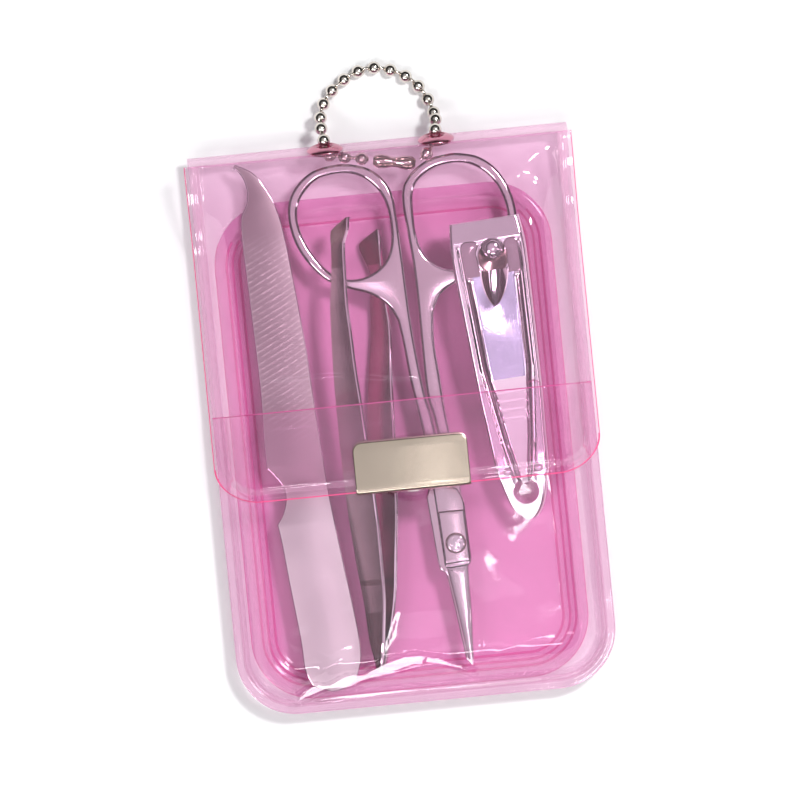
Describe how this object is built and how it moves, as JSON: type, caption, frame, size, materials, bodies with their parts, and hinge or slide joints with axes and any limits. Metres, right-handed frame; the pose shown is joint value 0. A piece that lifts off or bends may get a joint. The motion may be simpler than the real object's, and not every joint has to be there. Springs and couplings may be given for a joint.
{
  "type": "manicure set case",
  "caption": "Slim clear vinyl manicure wallet with a snap flap and ball chain, holding a nail file, scissors, tweezers and a lever nail clipper",
  "frame": {"origin": "middle of the case's outline, on the surface that its back lies on", "axes": "+X across the case, to the right as seen from the front; +Y up the case, from its rounded bottom edge to the hinge and the chain; +Z out of the front of the case, up when it lies on its back"},
  "size_m": [0.0712, 0.1184, 0.0157],
  "materials": {
    "clear_vinyl": "clear pink flexible vinyl film, glossy, softly wrinkled",
    "satin_plate": "brushed champagne nickel plate, fine vertical grain",
    "press_stud_metal": "bright nickel plate",
    "eyelet_metal": "rolled eyelets with a warm rose tint",
    "chain_nickel": "warm nickel-plated ball chain",
    "file_steel": "cross-cut upper length, smooth satin handle",
    "tool_steel": "satin flats with polished bevels",
    "tweezer_steel": "dark satin steel with bright edges",
    "bright_chrome": "polished chrome plate"
  },
  "bodies": {
    "case": {"back_panel": "clear_vinyl", "inner_tray": "clear_vinyl", "spine_fold": "clear_vinyl", "front_pocket": "clear_vinyl", "eyelet_left": "eyelet_metal", "eyelet_right": "eyelet_metal", "eyelet_washers": "eyelet_metal", "snap_stud": "press_stud_metal", "snap_back_ring": "press_stud_metal", "chain_inner_balls": "chain_nickel", "chain_inner_links": "chain_nickel", "chain_connector": "chain_nickel"},
    "flap": {"flap": "clear_vinyl", "clasp_plate": "satin_plate", "snap_socket": "press_stud_metal"},
    "chain_loop": {"chain_loop_balls": "chain_nickel", "chain_loop_links": "chain_nickel"},
    "file": {"nail_file": "file_steel"},
    "scissors": {"scissors_left_half": "tool_steel", "scissors_screw": "tool_steel"},
    "scissors_right": {"scissors_right_half": "tool_steel"},
    "tweezers": {"tweezers_right_arm": "tweezer_steel"},
    "tweezers_left": {"tweezers_left_arm": "tweezer_steel"},
    "clipper": {"clipper_lower_leaf": "bright_chrome", "clipper_rivets": "bright_chrome", "clipper_pin": "bright_chrome"},
    "clipper_upper": {"clipper_upper_leaf": "bright_chrome"},
    "clipper_lever": {"clipper_lever": "bright_chrome"}
  },
  "joints": [
    {"name": "flap_hinge", "type": "hinge", "parent": "case", "child": "flap", "pos_m": [0, 0.04998, 0.01025], "axis": [-1, 0, 0], "range_deg": [0, 120]},
    {"name": "chain_swing", "type": "hinge", "parent": "case", "child": "chain_loop", "pos_m": [0, 0.05168, 0.00768], "axis": [-1, 0, 0], "range_deg": [-45, 0]},
    {"name": "file_slide", "type": "slide", "parent": "case", "child": "file", "axis": [-0.0717, 0.9974, 0], "range_m": [-0.0003, 0.0008]},
    {"name": "scissors_slide", "type": "slide", "parent": "case", "child": "scissors", "axis": [-0.0662, 0.9978, 0], "range_m": [-0.001, 0.001]},
    {"name": "scissors_pivot", "type": "hinge", "parent": "scissors", "child": "scissors_right", "pos_m": [0.00727, -0.02326, 0.005], "axis": [0, 0, -1], "range_deg": [0, 4]},
    {"name": "tweezers_slide", "type": "slide", "parent": "case", "child": "tweezers", "axis": [0.035, 0.9993, 0.0135], "range_m": [-0.0012, 0]},
    {"name": "tweezers_squeeze", "type": "hinge", "parent": "tweezers", "child": "tweezers_left", "pos_m": [-0.0086, -0.0453, 0.0052], "axis": [-0.7071, 0, -0.7071], "range_deg": [0, 1.3]},
    {"name": "clipper_slide", "type": "slide", "parent": "case", "child": "clipper", "axis": [-0.0575, 0.997, 0.0523], "range_m": [-0.012, 0.002]},
    {"name": "clipper_jaw", "type": "hinge", "parent": "clipper", "child": "clipper_upper", "pos_m": [0.02086, -0.01101, 0.00592], "axis": [-0.9983, -0.0576, 0], "range_deg": [0, 0.9]},
    {"name": "clipper_lever_lift", "type": "hinge", "parent": "clipper_upper", "child": "clipper_lever", "pos_m": [0.01885, 0.02918, 0.01198], "axis": [-0.9983, -0.0576, 0], "range_deg": [0, 4]}
  ]
}
